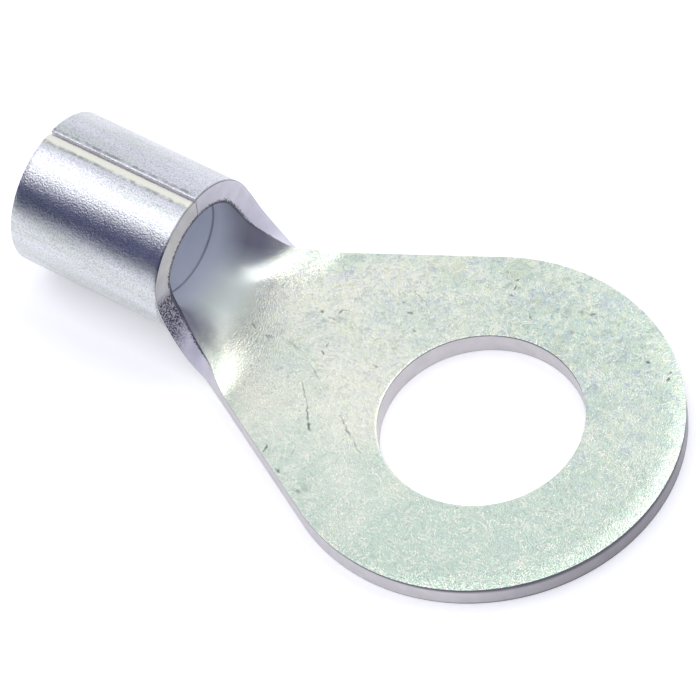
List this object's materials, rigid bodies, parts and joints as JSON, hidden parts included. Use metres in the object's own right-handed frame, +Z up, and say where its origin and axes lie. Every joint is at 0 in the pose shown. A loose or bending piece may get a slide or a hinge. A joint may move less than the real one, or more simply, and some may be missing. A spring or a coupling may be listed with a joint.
{
  "type": "ring terminal",
  "caption": "Bare crimp ring terminal: a flat ring tongue with a stud hole, tapering to a neck and a rolled wire barrel with an open butt seam.",
  "frame": {"origin": "centre of the stud hole, on the underside of the tongue, which is also the level of the bottom of the barrel", "axes": "+X from the wire barrel to the ring, along the terminal; +Z up, square to the tongue, on the side of the barrel; +Y to the left of +X"},
  "size_m": [0.0289, 0.0164, 0.0066],
  "materials": {
    "plated_metal": "dull bright zinc plate with a faint yellow-green and blue passivation tint, fine random grain and light handling scratches"
  },
  "bodies": {
    "root": {"ring_terminal": "plated_metal"}
  },
  "joints": []
}
